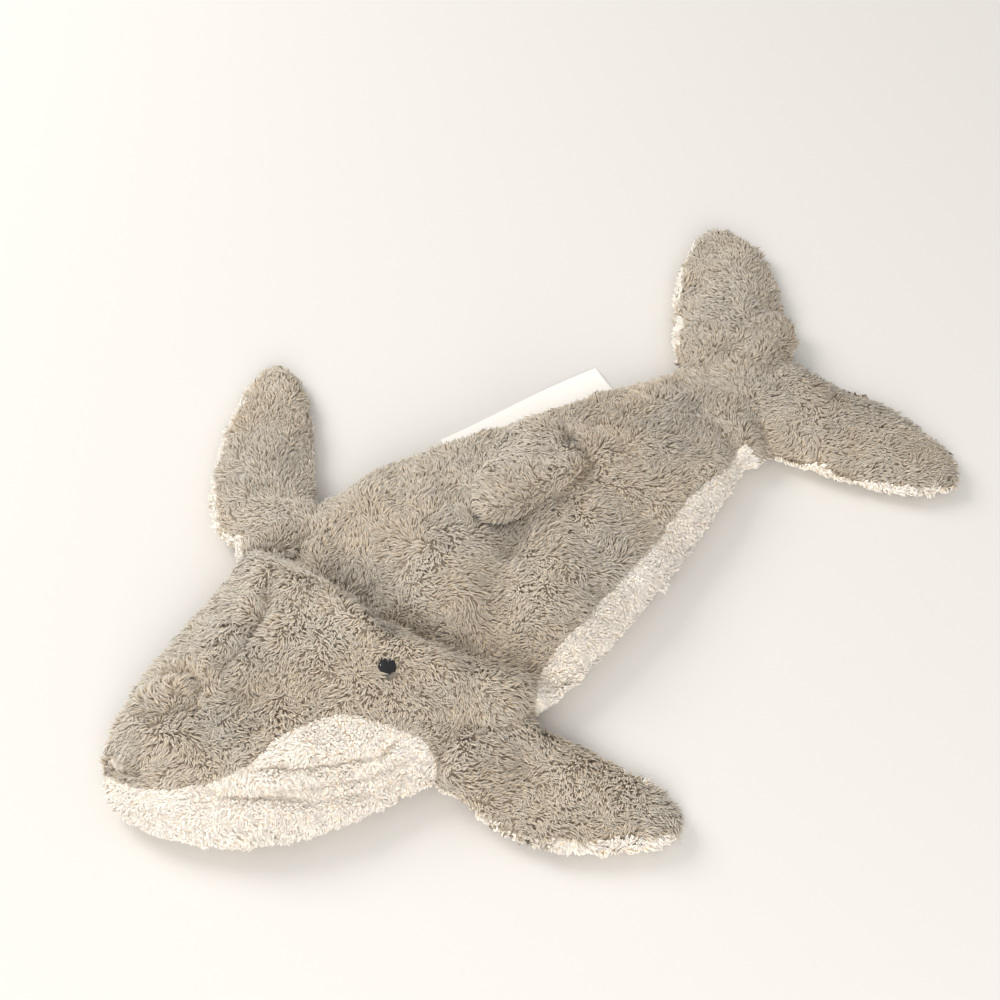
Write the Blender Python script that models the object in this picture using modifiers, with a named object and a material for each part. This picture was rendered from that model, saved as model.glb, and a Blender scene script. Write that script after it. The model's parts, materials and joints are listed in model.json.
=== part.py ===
# Plush whale: a flat cloth whale with a removable grain pouch in its belly.
# Metres, +Z up. The nose points along -Y, the tail along +Y and the left side is +X.
# The origin is on the flat that the belly rests on, on the body's centre line.

from math import cos, exp, radians, sin

import bmesh
import bpy
from mathutils import Matrix, Vector
from mathutils.bvhtree import BVHTree
from mathutils.geometry import intersect_point_line

# Clearances
touch_gap = 0.0003  # between pieces that lie against each other
filling_gap = 0.0008  # between a filling and the cloth round it
fold_gap = 0.0008  # between two bodies, along a fold
fold_edge = 0.0004  # half the thickness of a form where it closes on a fold
core_edge = 0.0022  # half the thickness of the inside of a cloth where it closes
rest_sink = 0.0005  # depth by which a soft form is cut flat where it rests
cut_overrun = 0.002  # what a cutter reaches past the piece that it cuts

# Height of the sewn seam that runs all round the whale
seam_height = 0.0085

# Cloths
body_cloth = 0.004
limb_cloth = 0.0024
pouch_cloth = 0.001

# Torso
torso_front = -0.078  # neck fold
torso_length = 0.198
torso_half_width = 0.0757
torso_crown = 0.0215  # above the seam
end_cloth = 0.0085  # how much more cloth there is at the ends of a form than round it
pouch_length_share = 0.823  # of the torso's length, from the neck to the rear end of the grain pouch
pouch_end = torso_front + torso_length * pouch_length_share
cage_allowance_share = 1.07  # a cage stands this much outside the form that it rounds to

# Soft folds that the cloth has taken over its slack filling
crest_height = 0.0042
valley_depth = 0.0052
head_ridge_height = 0.0036
back_ridge_height = 0.0022
back_hollow_depth = 0.0026
back_mound_height = 0.0024
neck_fold_reach = 0.0095  # half the width of the folds at the neck
soft_fold_reach = 0.0130
fold_fade = 0.008  # height over the seam at which the folds are full
fold_room = 0.003  # how much lower the fillings lie, so that the hollows clear them

# Head
head_length = 0.133
head_half_width = 0.065
head_crown = 0.0245
jaw_rear_setback = 0.018

# Flippers
left_flipper_length = 0.0765
right_flipper_length = 0.088
left_flipper_half_width = 0.0290
right_flipper_half_width = 0.0315
left_flipper_sweep = 0.036
right_flipper_sweep = 0.064
left_shoulder_place = -0.074
right_shoulder_place = -0.072
left_shoulder_inset = 0.0006  # how far a flipper's root sits in towards the body
right_shoulder_inset = 0.0002
flipper_crown = 0.0072
flipper_droop = radians(2.2)

# Flukes
fluke_half_span = 0.102
fluke_length = 0.086
fluke_crown = 0.0062
fluke_droop = radians(2.0)
fluke_turn = radians(-10.3)  # the flukes lie turned towards the near side
fluke_side_place = -0.007
fluke_inset = 0.0003  # how far their front sits in towards the body

# Dorsal fin
fin_length = 0.058
fin_height = 0.030
fin_half_thickness = 0.0042
fin_front = -0.012
fin_side_place = -0.006
fin_tilt = radians(9.0)  # it lies down the far side of the back
fin_slope = radians(-4.0)  # along the back, down towards the tail
fin_bed = 0.0030  # height of its fold over the back

# Eyes
eye_radius = 0.0036
eye_thickness = 0.0014
eye_place = -0.0947
left_eye_angle = radians(46.0)
right_eye_angle = radians(-83.0)
thread_gap = 0.0004

# Throat stitches
thread_radius = 0.0004
stitch_height = 0.0004
stitches_per_row = 11

# Sewn label
label_width = 0.037
label_length = 0.088
label_thickness = 0.0008
label_rest = 0.0003
label_middle = 0.053
label_turn = radians(-10.0)

# Pocket lip with its hook and loop strips
slit_place = 0.030
lip_length = 0.066
lip_width = 0.024
lip_thickness = 0.0010
lip_lap = 0.0025  # part of the lip that lies behind the slit
lip_gap = 0.0005
lip_axis_inset = 0.0004
strip_length = 0.056
strip_width = 0.012
strip_thickness = 0.0005
strip_margin = 0.003

cut_reach = 0.4  # cutters that clear a whole side of the whale
fine_levels = 2
plain_levels = 1
core_levels = 0

# Rows of a form: place along it, half width, sideways shift, crown and depth, as shares.
torso_shares = (
    (0.00, 0.86, -0.02, 0.00, 0.00),
    (0.04, 0.95, -0.03, 0.56, 0.70),
    (0.14, 1.00, -0.05, 0.90, 1.00),
    (0.33, 0.92, -0.03, 1.04, 1.00),
    (0.59, 0.75, -0.01, 0.84, 1.00),
    (0.83, 0.56, 0.00, 0.62, 1.00),
    (0.96, 0.45, 0.00, 0.42, 0.90),
    (1.00, 0.42, 0.00, 0.00, 0.00),
)
head_shares = (
    (0.00, 0.14, -0.17, 0.16, 0.30),
    (0.07, 0.38, -0.11, 0.38, 0.86),
    (0.28, 0.74, -0.03, 0.71, 1.00),
    (0.62, 0.96, 0.00, 0.92, 1.00),
    (0.94, 1.08, -0.05, 1.04, 0.92),
    (1.00, 1.02, -0.04, 0.00, 0.00),
)
flipper_shares = (
    (0.00, 0.52, 0.00, 0.00, 0.00),
    (0.07, 0.78, -0.09, 0.46, 0.72),
    (0.20, 0.95, -0.15, 0.90, 0.93),
    (0.38, 1.00, -0.175, 1.00, 0.86),
    (0.58, 0.99, -0.18, 0.98, 0.78),
    (0.78, 0.80, -0.165, 0.86, 0.70),
    (0.93, 0.48, -0.14, 0.60, 0.52),
    (1.00, 0.18, -0.12, 0.25, 0.25),
)
# Rows of the flukes from one tip to the other: place, leading edge, trailing edge, crown and depth.
fluke_half_shares = (
    (1.00, 0.76, 0.97, 0.30, 0.30),
    (0.82, 0.46, 1.04, 0.80, 0.74),
    (0.55, 0.20, 1.01, 1.00, 0.80),
    (0.31, 0.00, 0.88, 1.00, 0.86),
    (0.10, 0.00, 0.66, 0.98, 0.90),
    (0.00, 0.00, 0.48, 0.95, 0.92),
)
# Rows of the dorsal fin from its front: place, base, free edge, thickness on each side.
fin_shares = (
    (0.00, 0.00, 0.30, 0.30),
    (0.20, 0.00, 0.82, 0.90),
    (0.48, 0.00, 1.04, 1.00),
    (0.78, 0.00, 0.90, 0.90),
    (1.00, 0.00, 0.34, 0.30),
)
# The mouth line in plan, from the nose back: share of the head's length, share of its half width.
mouth_line_shares = (
    (1.20, -0.50),
    (0.985, -0.24),
    (0.91, 0.02),
    (0.79, 0.21),
    (0.64, 0.29),
    (0.48, 0.28),
    (0.33, 0.39),
    (0.25, 0.61),
    (0.17, 0.82),
)
# Folds in plan: shares of the torso's half width, and of its length from the neck fold back.
neck_crest_shares = (
    (-0.78, -0.136), (-0.26, -0.066), (0.21, -0.020), (0.61, 0.056), (0.82, 0.106),
)
neck_valley_shares = (
    (-0.87, -0.030), (-0.37, 0.010), (0.16, 0.060), (0.58, 0.146), (0.77, 0.200),
)
head_ridge_shares = ((-0.50, -0.180), (-0.30, -0.400), (-0.29, -0.500))
back_ridge_shares = ((0.14, 0.450), (0.25, 0.404), (0.49, 0.313), (0.66, 0.222))
back_hollow_shares = ((0.00, 0.374), (0.16, 0.283), (0.32, 0.192))
back_mound_shares = ((-0.28, 0.230), (-0.14, 0.172))
# Throat stitch rows: from and to, as shares of the head's length and as angles round the head.
throat_rows = {
    "throat_stitch_left_upper": (0.62, 0.24, radians(52.0), radians(76.0)),
    "throat_stitch_left_lower": (0.66, 0.30, radians(78.0), radians(87.0)),
    "throat_stitch_right_upper": (0.62, 0.26, radians(-92.5), radians(-92.5)),
    "throat_stitch_right_lower": (0.64, 0.30, radians(-96.5), radians(-96.5)),
}

# Cross sections: across and up, as shares. The lens closes on a sewn edge.
pillow_ring_shares = (
    (1.00, 0.00), (0.84, 0.76), (0.00, 1.02), (-0.84, 0.76),
    (-1.00, 0.00), (-0.84, -0.66), (0.00, -1.08), (0.84, -0.66),
)
lens_ring_shares = (
    (1.00, 0.00), (0.62, 0.76), (0.00, 1.02), (-0.62, 0.76),
    (-1.00, 0.00), (-0.62, -0.76), (0.00, -1.02), (0.62, -0.76),
)
lens_edges = (0, 4)
limb_edge_share = 2.6  # a limb's filling stops this many cloths short of the sewn edge


cloth_folds = (
    (neck_crest_shares, crest_height, neck_fold_reach),
    (neck_valley_shares, -valley_depth, neck_fold_reach),
    (head_ridge_shares, head_ridge_height, soft_fold_reach),
    (back_ridge_shares, back_ridge_height, soft_fold_reach),
    (back_hollow_shares, -back_hollow_depth, soft_fold_reach),
    (back_mound_shares, back_mound_height, soft_fold_reach),
)


def clear_scene():
    for item in list(bpy.data.objects):
        bpy.data.objects.remove(item, do_unlink=True)


def make_collection(name):
    made = bpy.data.collections.new(name)
    bpy.context.scene.collection.children.link(made)
    return made


clear_scene()
whale = make_collection("plush_whale")
cutters = make_collection("cutters")


def material(name, colour, roughness):
    made = bpy.data.materials.new(name)
    made.use_nodes = True
    shader = made.node_tree.nodes["Principled BSDF"]
    shader.inputs["Base Color"].default_value = (*colour, 1.0)
    shader.inputs["Roughness"].default_value = roughness
    shader.inputs["Metallic"].default_value = 0.0
    return made


grey_pile = material("grey_pile", (0.41, 0.34, 0.27), 0.95)
cream_pile = material("cream_pile", (0.88, 0.77, 0.66), 0.95)
pouch_cotton = material("pouch_cotton", (0.72, 0.62, 0.47), 0.90)
grain = material("grain", (0.33, 0.22, 0.12), 0.80)
wadding = material("wadding", (0.86, 0.85, 0.82), 1.00)
eye_thread = material("eye_thread", (0.010, 0.010, 0.011), 0.60)
throat_thread = material("throat_thread", (0.32, 0.26, 0.20), 0.80)
label_cotton = material("label_cotton", (0.86, 0.83, 0.79), 0.85)
closing_tape = material("closing_tape", (0.78, 0.74, 0.68), 0.85)


def add_object(name, mesh, home, look=None, parent=None):
    made = bpy.data.objects.new(name, mesh)
    home.objects.link(made)
    if look:
        mesh.materials.append(look)
    if home == cutters:
        made.hide_render = True
        made.display_type = "WIRE"
    if parent:
        made.parent = parent
    return made


def pivot(name, place, turn=(0.0, 0.0, 0.0)):
    made = bpy.data.objects.new(name, None)
    whale.objects.link(made)
    made.location = place
    made.rotation_euler = turn
    return made


def cut(target, cutter, operation="DIFFERENCE"):
    made = target.modifiers.new(operation.title() + "_" + cutter.name, "BOOLEAN")
    made.operation = operation
    made.object = cutter
    made.solver = "EXACT"


def shade_smooth(target, angle=radians(40.0)):
    target.data.shade_smooth()
    target.data.set_sharp_from_angle(angle=angle)


def fresh_mesh(shape, name):
    bmesh.ops.recalc_face_normals(shape, faces=shape.faces)
    mesh = bpy.data.meshes.new(name)
    shape.to_mesh(mesh)
    shape.free()
    return mesh


# A closed cage through rings of points, rounded by a Subdivision Surface.
# It stays straight along the creased lines and at the ends that are folds.
def round_form(name, rings, creased, home, levels, look=None, parent=None, folds=()):
    shape = bmesh.new()
    crease = shape.edges.layers.float.new("crease_edge")
    loops = [[shape.verts.new(point) for point in ring] for ring in rings]
    count = len(loops[0])
    for near, far in zip(loops, loops[1:]):
        for index in range(count):
            following = (index + 1) % count
            shape.faces.new((near[index], near[following], far[following], far[index]))
        for index in creased:
            shape.edges.get((near[index], far[index]))[crease] = 1.0
    ends = (shape.faces.new(loops[0][::-1]), shape.faces.new(loops[-1]))
    for fold in folds:
        for edge in ends[fold].edges:
            edge[crease] = 1.0
    made = add_object(name, fresh_mesh(shape, name), home, look, parent)
    rounding = made.modifiers.new("Rounding", "SUBSURF")
    rounding.levels = levels
    rounding.render_levels = levels
    return made


def box(name, low, high, home, look=None, parent=None):
    shape = bmesh.new()
    bmesh.ops.create_cube(shape, size=1.0)
    size = Vector(high) - Vector(low)
    middle = (Vector(high) + Vector(low)) / 2
    bmesh.ops.transform(shape, matrix=Matrix.Diagonal((*size, 1.0)), verts=shape.verts)
    made = add_object(name, fresh_mesh(shape, name), home, look, parent)
    made.location = middle
    return made


# Rings of a pillow that runs along Y, from one end to the other, about the seam's height.
def pillow_rings(form, inset, end_inset):
    heading = 1.0 if form["end"] > form["start"] else -1.0
    start = form["start"] + heading * end_inset
    end = form["end"] - heading * end_inset
    rings = []
    for along, width, shift, crown, depth in form["shares"]:
        half = form["half_width"] * width * cage_allowance_share - inset
        edge = core_edge + body_cloth - inset if inset > 0 else fold_edge - inset
        room = fold_room if inset > 0 else 0.0
        above = max(form["crown"] * crown * cage_allowance_share - inset - room, edge)
        below = max(form["depth"] * depth * cage_allowance_share - inset, edge)
        centre = form["half_width"] * shift
        turn = form.get("end_turn", 0.0) * max(0.0, (along - form["turn_from_share"])
                                               / (1.0 - form["turn_from_share"]))
        ring = []
        for across, up in form["ring"]:
            side = across * half
            ring.append(Vector((
                centre + side * cos(turn),
                start + (end - start) * along + side * sin(turn),
                up * (above if up > 0 else below),
            )))
        rings.append(ring)
    return rings


torso_form = {
    "start": torso_front,
    "end": torso_front + torso_length,
    "half_width": torso_half_width,
    "crown": torso_crown,
    "depth": seam_height + rest_sink,
    "shares": torso_shares,
    "ring": pillow_ring_shares,
    "end_turn": fluke_turn,
    "turn_from_share": 0.80,
    "folds": (0, 1),
}
nose_place = torso_front - fold_gap - head_length
head_form = {
    "start": nose_place,
    "end": torso_front - fold_gap,
    "half_width": head_half_width,
    "crown": head_crown,
    "depth": seam_height + rest_sink,
    "shares": head_shares,
    "ring": pillow_ring_shares,
    "turn_from_share": 0.0,
    "folds": (1,),
}

root_frame = pivot("torso_frame", (0.0, 0.0, seam_height))
neck_frame = pivot("neck_fold_frame", (0.0, torso_front - fold_gap / 2, seam_height))

table_cutter = box("table_cutter", (-cut_reach, -cut_reach, -cut_reach), (cut_reach, cut_reach, 0.0), cutters)
above_seam = box(
    "above_seam",
    (-cut_reach, -cut_reach, seam_height - touch_gap / 2),
    (cut_reach, cut_reach, cut_reach),
    cutters,
)
below_seam = box(
    "below_seam",
    (-cut_reach, -cut_reach, -cut_reach),
    (cut_reach, cut_reach, seam_height + touch_gap / 2),
    cutters,
)


# Height of the soft folds over a place in plan
def fold_height(x, y):
    place = Vector((x, y))
    total = 0.0
    for line, height, reach in cloth_folds:
        points = [
            Vector((torso_half_width * across, torso_front + torso_length * along))
            for across, along in line
        ]
        away = []
        for near, far in zip(points, points[1:]):
            closest, share = intersect_point_line(place, near, far)
            closest = near.lerp(far, min(max(share, 0.0), 1.0))
            away.append((place - closest).length)
        total += height * exp(-(min(away) / reach) ** 2)
    return total


# Turns a rounded form into plain faces and lays the folds in its upper side
def lay_folds(target, shift):
    bpy.context.view_layer.update()
    graph = bpy.context.evaluated_depsgraph_get()
    mesh = bpy.data.meshes.new_from_object(target.evaluated_get(graph))
    target.modifiers.clear()
    target.data = mesh
    for vertex in mesh.vertices:
        share = min(max(vertex.co.z / fold_fade, 0.0), 1.0)
        if share > 0.0:
            vertex.co.z += share * fold_height(vertex.co.x, vertex.co.y + shift)


def pillow(name, form, frame, home, levels, inset=0.0, end_inset=0.0, look=None):
    rings = pillow_rings(form, inset, end_inset)
    offset = Vector((0.0, frame.location.y, 0.0))
    rings = [[point - offset for point in ring] for ring in rings]
    folds = () if inset > 0 else form["folds"]
    made = round_form(name, rings, (), home, levels, look, frame, folds)
    if inset <= 0:
        lay_folds(made, frame.location.y)
    return made


# Torso: back and belly cloths round the grain pouch and the stock's wadding
def make_torso():
    core_inset = body_cloth + end_cloth
    core = pillow("torso_core", torso_form, root_frame, cutters, plain_levels, body_cloth, core_inset)
    back = pillow("back_panel", torso_form, root_frame, whale, fine_levels, look=grey_pile)
    cut(back, core)
    cut(back, below_seam)
    shade_smooth(back)

    slit_front = box(
        "slit_front_cutter",
        (-cut_reach, slit_place - touch_gap / 2, -cut_reach),
        (cut_reach, cut_reach, cut_reach),
        cutters,
    )
    slit_rear = box(
        "slit_rear_cutter",
        (-cut_reach, -cut_reach, -cut_reach),
        (cut_reach, slit_place + touch_gap / 2, cut_reach),
        cutters,
    )
    recess = lip_recess_cutter()
    for name, side in (("belly_front_panel", slit_front), ("belly_rear_panel", slit_rear)):
        panel = pillow(name, torso_form, root_frame, whale, fine_levels, look=cream_pile)
        cut(panel, core)
        cut(panel, above_seam)
        cut(panel, table_cutter)
        cut(panel, recess)
        cut(panel, side)
        shade_smooth(panel)

    pouch_inset = body_cloth + filling_gap
    grain_inset = pouch_inset + pouch_cloth
    behind_pouch = box(
        "behind_pouch_cutter",
        (-cut_reach, pouch_end, -cut_reach),
        (cut_reach, cut_reach, cut_reach),
        cutters,
    )
    behind_grain = box(
        "behind_grain_cutter",
        (-cut_reach, pouch_end - pouch_cloth, -cut_reach),
        (cut_reach, cut_reach, cut_reach),
        cutters,
    )
    before_wadding = box(
        "before_wadding_cutter",
        (-cut_reach, -cut_reach, -cut_reach),
        (cut_reach, pouch_end + filling_gap, cut_reach),
        cutters,
    )
    pouch_core = pillow(
        "pouch_core", torso_form, root_frame, cutters, plain_levels,
        grain_inset, core_inset + filling_gap + pouch_cloth,
    )
    cut(pouch_core, behind_grain)
    for name, side in (("pouch_upper_cloth", below_seam), ("pouch_lower_cloth", above_seam)):
        cloth = pillow(
            name, torso_form, root_frame, whale, plain_levels,
            pouch_inset, core_inset + filling_gap, pouch_cotton,
        )
        cut(cloth, pouch_core)
        cut(cloth, side)
        cut(cloth, behind_pouch)
        shade_smooth(cloth)
    filling = pillow(
        "grain_filling", torso_form, root_frame, whale, plain_levels,
        grain_inset + filling_gap, core_inset + pouch_cloth + 2 * filling_gap, grain,
    )
    grain_end = box(
        "grain_end_cutter",
        (-cut_reach, pouch_end - pouch_cloth - filling_gap, -cut_reach),
        (cut_reach, cut_reach, cut_reach),
        cutters,
    )
    cut(filling, grain_end)
    shade_smooth(filling)
    stock = pillow(
        "stock_wadding", torso_form, root_frame, whale, plain_levels,
        pouch_inset, core_inset + filling_gap, wadding,
    )
    cut(stock, before_wadding)
    shade_smooth(stock)


# The lip, its hook strip and the loop strip lie in a recess under the belly, across the slit.
def lip_recess_depth():
    return lip_thickness + 2 * strip_thickness + 3 * touch_gap


def lip_recess_cutter():
    rear = slit_place + lip_lap + lip_gap
    front = rear - lip_width - 2 * lip_gap
    half = lip_length / 2 + lip_gap
    return box(
        "lip_recess_cutter",
        (-half, front, -cut_overrun),
        (half, rear, lip_recess_depth()),
        cutters,
    )


def make_pocket_lip():
    rear = slit_place + lip_lap
    axis = (0.0, rear - lip_axis_inset, lip_thickness / 2)
    frame = pivot("pocket_lip_frame", axis)
    half = lip_length / 2
    low = Vector((-half, rear - lip_width, 0.0)) - frame.location
    high = Vector((half, rear, lip_thickness)) - frame.location
    box("pocket_lip", low, high, whale, cream_pile, frame)
    strip_half = strip_length / 2
    strip_front = rear - lip_width + strip_margin
    strip_rear = strip_front + strip_width
    hook_low = lip_thickness + touch_gap
    low = Vector((-strip_half, strip_front, hook_low)) - frame.location
    high = Vector((strip_half, strip_rear, hook_low + strip_thickness)) - frame.location
    box("hook_strip", low, high, whale, closing_tape, frame)
    loop_low = hook_low + strip_thickness + touch_gap
    box(
        "loop_strip",
        (-strip_half, strip_front, loop_low - seam_height),
        (strip_half, strip_rear, loop_low + strip_thickness - seam_height),
        whale, closing_tape, root_frame,
    )


# Head: grey cloth over the top, cream jaw cloth that rises up the near cheek
def mouth_prism(name, shift):
    curve = bpy.data.curves.new(name, "CURVE")
    curve.dimensions = "2D"
    curve.fill_mode = "BOTH"
    curve.extrude = cut_reach / 2
    points = [
        (head_half_width * across, torso_front - head_length * along)
        for along, across in mouth_line_shares
    ]
    rear = torso_front - jaw_rear_setback
    points += [(head_half_width, rear), (cut_reach, rear), (cut_reach, -cut_reach), (-head_half_width, -cut_reach)]
    outline = curve.splines.new("POLY")
    outline.points.add(len(points) - 1)
    for point, (x, y) in zip(outline.points, points):
        point.co = (x, y, 0.0, 1.0)
    outline.use_cyclic_u = True
    drawn = bpy.data.objects.new(name + "_outline", curve)
    cutters.objects.link(drawn)
    graph = bpy.context.evaluated_depsgraph_get()
    mesh = bpy.data.meshes.new_from_object(drawn.evaluated_get(graph))
    bpy.data.objects.remove(drawn, do_unlink=True)
    shape = bmesh.new()
    shape.from_mesh(mesh)
    bmesh.ops.remove_doubles(shape, verts=shape.verts, dist=touch_gap / 10)
    bmesh.ops.recalc_face_normals(shape, faces=shape.faces)
    shape.to_mesh(mesh)
    shape.free()
    made = add_object(name, mesh, cutters)
    made.location = shift
    return made


def make_head():
    core_inset = body_cloth + end_cloth
    core = pillow("head_core", head_form, neck_frame, cutters, plain_levels, body_cloth, core_inset)
    cheek = mouth_prism("cheek_cutter", (0.0, 0.0, 0.0))
    cheek_clear = mouth_prism("cheek_clear_cutter", (-touch_gap, touch_gap, 0.0))
    above_jaw = box(
        "above_jaw_cutter",
        (-cut_reach / 2, -cut_reach + cut_overrun, seam_height - touch_gap / 2),
        (cut_reach / 2, cut_reach / 2, cut_reach / 2 - cut_overrun),
        cutters,
    )
    cut(above_jaw, cheek)
    top = pillow("head_top_panel", head_form, neck_frame, whale, fine_levels, look=grey_pile)
    cut(top, cheek_clear)
    cut(top, core)
    cut(top, below_seam)
    shade_smooth(top)
    jaw = pillow("jaw_panel", head_form, neck_frame, whale, fine_levels, look=cream_pile)
    cut(jaw, core)
    cut(jaw, above_jaw)
    cut(jaw, table_cutter)
    shade_smooth(jaw)
    pad = pillow(
        "head_wadding", head_form, neck_frame, whale, plain_levels,
        body_cloth + filling_gap, core_inset + filling_gap, wadding,
    )
    shade_smooth(pad)


# The smooth skin of a form, to seat small pieces on
def skin_of(form, name):
    skin = round_form(name, pillow_rings(form, 0.0, 0.0), (), cutters, fine_levels, folds=form["folds"])
    lay_folds(skin, 0.0)
    lift = Vector((0.0, 0.0, seam_height))
    points = [vertex.co + lift for vertex in skin.data.vertices]
    faces = [tuple(face.vertices) for face in skin.data.polygons]
    return {"points": points, "tree": BVHTree.FromPolygons(points, faces)}


def seat(skin, centre, direction):
    start = centre + direction * cut_reach
    place, normal, _, _ = skin["tree"].ray_cast(start, -direction)
    if place is None:
        return None
    if normal.dot(direction) < 0:
        normal = -normal
    return place, normal


def facing(normal, ahead):
    side = ahead.cross(normal).normalized()
    along = normal.cross(side).normalized()
    return Matrix((side, along, normal)).transposed().to_4x4()


def make_eyes(head_skin):
    for name, angle in (("eye_left", left_eye_angle), ("eye_right", right_eye_angle)):
        shape = bmesh.new()
        bmesh.ops.create_uvsphere(shape, u_segments=20, v_segments=10, radius=1.0)
        bmesh.ops.bisect_plane(
            shape, geom=shape.verts[:] + shape.edges[:] + shape.faces[:], dist=touch_gap / 10,
            plane_co=(0.0, 0.0, 0.0), plane_no=(0.0, 0.0, -1.0), clear_outer=True,
        )
        bmesh.ops.holes_fill(shape, edges=[edge for edge in shape.edges if edge.is_boundary])
        size = Matrix.Diagonal((eye_radius, eye_radius, eye_thickness, 1.0))
        bmesh.ops.transform(shape, matrix=size, verts=shape.verts)
        place, normal = seat(
            head_skin, Vector((0.0, eye_place, seam_height)), Vector((sin(angle), 0.0, cos(angle)))
        )
        turned = facing(normal, Vector((0.0, 1.0, 0.0)))
        eye = add_object(name, fresh_mesh(shape, name), whale, eye_thread, neck_frame)
        eye.matrix_basis = Matrix.Translation(place + normal * thread_gap - neck_frame.location) @ turned
        shade_smooth(eye)


# One running thread along a throat pleat, which rises and dips from stitch to stitch
def make_throat_thread(name, row, head_skin):
    first, last, first_angle, last_angle = row
    count = 2 * stitches_per_row
    curve = bpy.data.curves.new(name, "CURVE")
    curve.dimensions = "3D"
    curve.bevel_depth = thread_radius
    curve.bevel_resolution = 1
    curve.use_fill_caps = True
    run = curve.splines.new("POLY")
    run.points.add(count)
    for index in range(count + 1):
        share = index / count
        along = first + (last - first) * share
        angle = first_angle + (last_angle - first_angle) * share
        centre = Vector((0.0, torso_front - head_length * along, seam_height))
        place, normal = seat(head_skin, centre, Vector((sin(angle), 0.0, cos(angle))))
        rise = thread_radius + thread_gap + stitch_height * (index % 2)
        point = place + normal * rise - neck_frame.location
        run.points[index].co = (*point, 1.0)
    thread = bpy.data.objects.new(name, curve)
    curve.materials.append(throat_thread)
    whale.objects.link(thread)
    thread.parent = neck_frame


# Rings of a flat limb that closes on a sewn edge all round. Points run along, across and up.
def limb_rings(rows, thickness_inset, edge_inset, end_inset, length, place):
    rings = []
    for along, front, rear, crown, depth in rows:
        middle = (front + rear) / 2
        half = max((rear - front) / 2 - edge_inset, core_edge + limb_cloth - thickness_inset)
        edge = core_edge / 2 + limb_cloth - thickness_inset if thickness_inset > 0 else fold_edge
        above = max(crown * cage_allowance_share - thickness_inset, edge)
        below = max(depth * cage_allowance_share - thickness_inset, edge)
        position = end_inset + (length - 2 * end_inset) * along
        ring = [
            place(position, middle + half * across, up * (above if up > 0 else below))
            for across, up in lens_ring_shares
        ]
        rings.append(ring)
    return rings


def limb(name, rows, frame, home, levels, place, length, inset=0.0, look=None, folds=()):
    edge_inset = inset * limb_edge_share
    rings = limb_rings(rows, inset, edge_inset, edge_inset, length, place)
    return round_form(name, rings, lens_edges, home, levels, look, frame, folds)


def limb_assembly(names, rows, frame, place, length, clear_of, folds):
    top_name, under_name, wadding_name = names
    frame_above = box(
        wadding_name + "_above_cutter",
        (-cut_reach, -cut_reach, -touch_gap / 2),
        (cut_reach, cut_reach, cut_reach),
        cutters, parent=frame,
    )
    frame_below = box(
        wadding_name + "_below_cutter",
        (-cut_reach, -cut_reach, -cut_reach),
        (cut_reach, cut_reach, touch_gap / 2),
        cutters, parent=frame,
    )
    core = limb(wadding_name + "_core", rows, frame, cutters, core_levels, place, length, limb_cloth)
    for name, side, look in ((top_name, frame_below, grey_pile), (under_name, frame_above, cream_pile)):
        panel = limb(name, rows, frame, whale, plain_levels, place, length, look=look, folds=folds)
        cut(panel, core)
        cut(panel, side)
        cut(panel, table_cutter)
        cut(panel, clear_of)
        shade_smooth(panel)
    pad = limb(
        wadding_name, rows, frame, whale, core_levels, place, length, limb_cloth + filling_gap, wadding
    )
    shade_smooth(pad)


def make_flipper(side, skin, clear_of):
    left = side == "left"
    outward = 1.0 if left else -1.0
    length = left_flipper_length if left else right_flipper_length
    half_width = left_flipper_half_width if left else right_flipper_half_width
    sweep = left_flipper_sweep if left else right_flipper_sweep
    shoulder = left_shoulder_place if left else right_shoulder_place
    inset = left_shoulder_inset if left else right_shoulder_inset
    root_half = half_width * flipper_shares[0][1]
    reach = max(outward * point.x for point in skin["points"] if abs(point.y - shoulder) < root_half)
    frame = pivot(
        "flipper_" + side + "_frame",
        (outward * (reach + fold_gap / 2 - inset), shoulder, seam_height),
        (0.0, outward * flipper_droop, 0.0),
    )
    rows = [
        (
            along,
            length * shift + sweep * along - half_width * chord,
            length * shift + sweep * along + half_width * chord,
            flipper_crown * crown,
            (seam_height + rest_sink) * depth,
        )
        for along, chord, shift, crown, depth in flipper_shares
    ]

    def place_point(along, across, up):
        return Vector((outward * (fold_gap / 2 + along), across, up))

    names = ("flipper_" + side + "_top_panel", "flipper_" + side + "_underside_panel",
             "flipper_" + side + "_wadding")
    limb_assembly(names, rows, frame, place_point, length, clear_of, (0,))


def make_flukes(clear_of):
    rear = torso_front + torso_length
    frame = pivot(
        "fluke_fold_frame",
        (0.0, rear, seam_height),
        (-fluke_droop, 0.0, fluke_turn),
    )
    half_rows = [
        (
            along * fluke_half_span,
            fold_gap - fluke_inset + fluke_length * front,
            fold_gap - fluke_inset + fluke_length * back,
            fluke_crown * crown,
            (seam_height + rest_sink) * depth,
        )
        for along, front, back, crown, depth in fluke_half_shares
    ]
    span = 2 * fluke_half_span
    rows = [
        ((direction * along + fluke_half_span) / span, front, back, crown, depth)
        for direction, half in ((-1.0, half_rows), (1.0, half_rows[-2::-1]))
        for along, front, back, crown, depth in half
    ]

    def place_point(along, across, up):
        return Vector((along - fluke_half_span + fluke_side_place, across, up))

    names = ("fluke_top_panel", "fluke_underside_panel", "fluke_wadding")
    limb_assembly(names, rows, frame, place_point, span, clear_of, ())


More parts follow.
